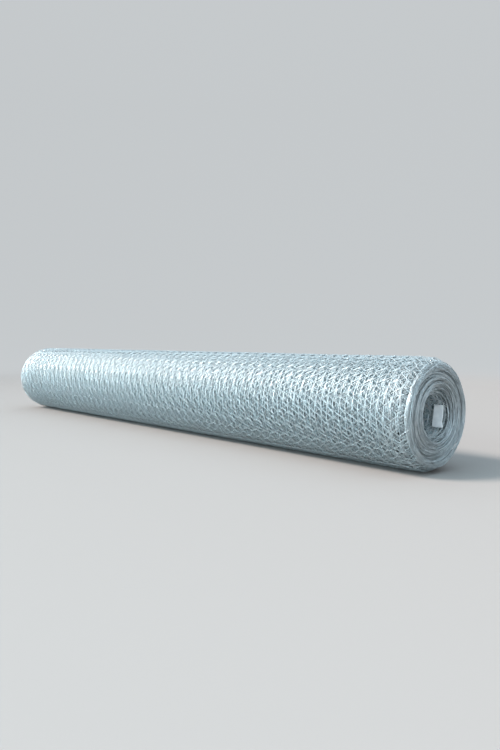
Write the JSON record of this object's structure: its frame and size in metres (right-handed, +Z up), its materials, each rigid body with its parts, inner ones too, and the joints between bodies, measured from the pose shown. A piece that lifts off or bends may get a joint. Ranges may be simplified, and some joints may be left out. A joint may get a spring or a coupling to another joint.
{
  "type": "roll of chicken wire",
  "caption": "Long roll of galvanised hexagonal wire netting lying on its side, wound on itself around an open bore, with a bare paper tag in the bore's mouth.",
  "frame": {"origin": "on the floor below the middle of the roll as it lies", "axes": "+X along the roll's axis to the end with the tag, +Z up"},
  "size_m": [1.5, 0.195, 0.1949],
  "materials": {
    "galvanised_netting": "galvanised steel wire, weathered dull silver with a blue-grey cast",
    "tag_card": "plain matte off-white card, slightly dusty"
  },
  "bodies": {
    "root": {"netting_roll": "galvanised_netting", "paper_tag": "tag_card"}
  },
  "joints": []
}
